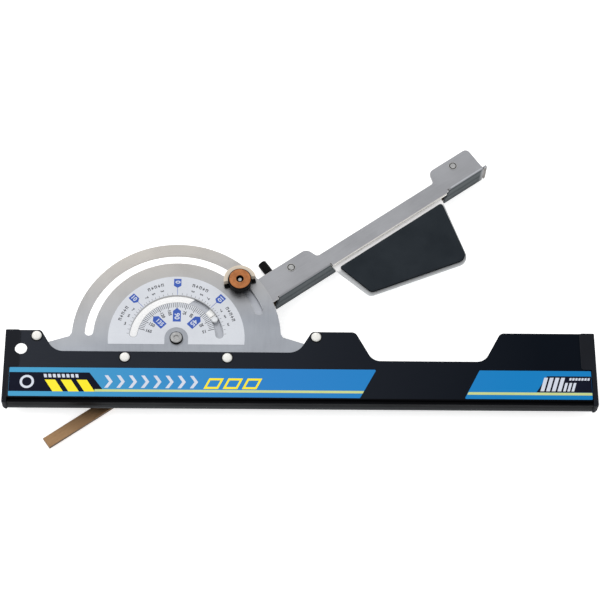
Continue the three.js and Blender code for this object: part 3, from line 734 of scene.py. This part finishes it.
def make_labels(materials):
    """Neutral graphics on the fence's film: panels, bars and a rule, with no lettering."""
    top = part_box("fence_label_left")[1].z
    low, high = -45.5, -30.0
    panels = [
        [(-125.0, low), (-53.0, low), (-64.7, high), (-125.0, high)],
        [(273.2, -43.7), (315.5, -43.7), (315.5, -30.4), (282.1, -30.4)],
    ]
    printed("label_panels", panels, top, materials["ink_navy"])
    layer = top + 0.04 * MM
    bars = [slanted(left, left + 7.9, -45.6, -36.0, -6.3) for left in (-91.9, -79.9, -68.0)]
    for left in (21.5, 36.0, 50.5):
        bars += frame_shape(left, -42.8, 11.0, 8.8, 0.5, 1.7)
    printed("label_bars", bars, layer, materials["ink_yellow"])
    rules = [
        [(-60.3, -45.6), (141.7, -45.6), (142.8, -43.6), (-60.3, -43.6)],
        [(220.7, -46.0), (315.5, -46.0), (315.5, -43.9), (221.8, -43.9)],
    ]
    printed("label_rules", rules, layer, materials["ink_lemon"])
    pale = [slanted(-98.6 + i * 3.4, -96.4 + i * 3.4, -34.2, -31.4, -0.6) for i in range(8)]
    for i in range(8):
        pale += chevron(-53.2 + i * 9.2, -42.4, 5.1, 2.7)
    tall = [(276.2 + i * 4.3, 2.9, 11.2) for i in range(4)]
    short = [(293.4 + i * 3.2, 2.0, 7.0) for i in range(3)]
    for left, width, height in tall + short:
        pale.append(slanted(left, left + width, -42.8, -42.8 + height, 0.32 * height))
    pale += [slanted(298.6 + i * 2.3, 300.2 + i * 2.3, -33.8, -31.8, 0.4) for i in range(7)]
    pale.append(arc_shape((-111.5, -37.7), 3.6, 5.4, 0, 180, 14))
    pale.append(arc_shape((-111.5, -37.7), 3.6, 5.4, 180, 360, 14))
    printed("label_marks", pale, layer, materials["ink_pale"])


def arc_shape(centre, inner, outer, start, end, steps):
    return [(x + centre[0], y + centre[1]) for x, y in arc_band(inner, outer, start, end, steps)]


def make_index_line(materials):
    """The reading line on the index plate, on the arm's own line through the pivot."""
    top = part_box("index_plate")[1].z
    bearing = ARM_ANGLE / DEGREE
    line = radial_box(29.2, 37.2, 0.35, bearing)
    printed("index_line", [line], top, materials["ink_black"], body="arm")


def ring_band(name, places, inner, outer, low, high, material, body):
    """Flat rings with a rounded rim, in millimetres, as one mesh."""
    build = bmesh.new()
    steps = 40
    rounding = (high - low) * 0.35
    profile = [(inner, low), (outer, low), (outer, high - rounding), (outer - rounding, high), (inner, high)]
    for x, y in places:
        rows = []
        for i in range(steps):
            turn = 2 * math.pi * i / steps
            row = [build.verts.new(((x + r * math.cos(turn)) * MM, (y + r * math.sin(turn)) * MM, z * MM))
                   for r, z in profile]
            rows.append(row)
        for i in range(steps):
            first, second = rows[i], rows[(i + 1) % steps]
            for j in range(len(profile)):
                k = (j + 1) % len(profile)
                build.faces.new((first[j], second[j], second[k], first[k]))
    bmesh.ops.recalc_face_normals(build, faces=build.faces)
    mesh = bpy.data.meshes.new(name)
    build.to_mesh(mesh)
    build.free()
    return link_piece(name, mesh, material, body)


def centre_of(name):
    """The middle of a CAD node seen from above, in millimetres."""
    low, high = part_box(name)
    return ((low.x + high.x) / 2 / MM, (low.y + high.y) / 2 / MM)


def make_rings(materials):
    """Black rings as painted shadow round the fence rivets' heads and under the pivot's head, and as painted shade
    in the grooves of the arm's flush rivets.
    """
    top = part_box("fence_rail")[1].z / MM
    # Painted shadow: a black ring round each fence rivet's head.
    places = [centre_of(f"fence_rivet_{i}") for i in (1, 2, 3, 4)]
    ring_band("fence_rivet_shadow_rings", places, 3.76, 4.45, top + 0.01, top + 0.35, materials["hole_black"],
              "fence")
    # Painted shade: a black ring in the groove of each flush arm rivet.
    arm_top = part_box("arm_rivet_hub")[1].z / MM
    places = [centre_of("arm_rivet_hub"), centre_of("arm_rivet_end")]
    ring_band("arm_rivet_groove_shade", places, 2.22, 2.93, arm_top - 0.29, arm_top - 0.1, materials["hole_black"],
              "arm")
    # Painted shadow: a black ring round the pivot's head.
    low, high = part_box("pivot_pin")
    head = (high.x - low.x) / 2 / MM
    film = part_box("protractor_plate")[1].z / MM
    ring_band("pivot_shadow_ring", [(0, 0)], head + 0.02, head + 0.28, film + 0.01, high.z / MM - 0.5,
              materials["hole_black"], "fence")


def make_pad(materials):
    """The foam pad: its CAD outline, remeshed so that the rim rolls over and the face is softly crowned."""
    source = nodes["grip_pad"]
    mesh = source.data.copy()
    pad = bpy.data.objects.new("grip_pad_foam", mesh)
    bpy.context.scene.collection.objects.link(pad)
    remesh = pad.modifiers.new("remesh", "REMESH")
    remesh.mode = "VOXEL"
    remesh.voxel_size = 0.0006
    soften = pad.modifiers.new("soften", "SMOOTH")
    soften.iterations = 6
    soften.factor = 0.5
    graph = bpy.context.evaluated_depsgraph_get()
    shaped = bpy.data.meshes.new_from_object(pad.evaluated_get(graph))
    pad.modifiers.clear()
    pad.data = shaped
    low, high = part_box("grip_pad")
    for vertex in shaped.vertices:
        lift = (vertex.co.z - low.z) / (high.z - low.z)
        ripple = math.sin(vertex.co.x * 310) * math.sin(vertex.co.y * 270)
        vertex.co.z = min(vertex.co.z + lift * ripple * 0.00006, high.z)
    shaped.shade_smooth()
    shaped.materials.clear()
    shaped.materials.append(materials["pad"])
    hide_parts("grip_pad")
    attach(pad, "arm")


def dress_nodes(materials):
    slots = {part["node"]: part["material_slot"] for part in frame["record"]["subparts"]}
    own_finish = {"arm_plate": "arm_steel", "grip_plate": "grip_sheet", "guide_pin": "pin_painted_highlight"}
    bevels = {
        "fence_rail": 0.00025, "protractor_plate": 0.0002, "reference_bar": 0.0001,
        "clamp_washer": 0.0003, "clamp_lugs": 0.0002, "knob_disc": 0.0001, "bar_guide_hub": 0.0003,
        "bar_guide_end": 0.0003, "left_end_cap": 0.0002, "right_end_cap": 0.0002,
    }
    group = smooth_group()
    for name in nodes:
        finish = own_finish.get(name, slots[name])
        finish_node(name, materials[finish], group, bevels.get(name, 0.0))


make_camera()
make_studio()
make_floor()
finishes = make_materials()
dress_nodes(finishes)
make_scale(finishes)
make_labels(finishes)
make_index_line(finishes)
make_rings(finishes)
make_pad(finishes)
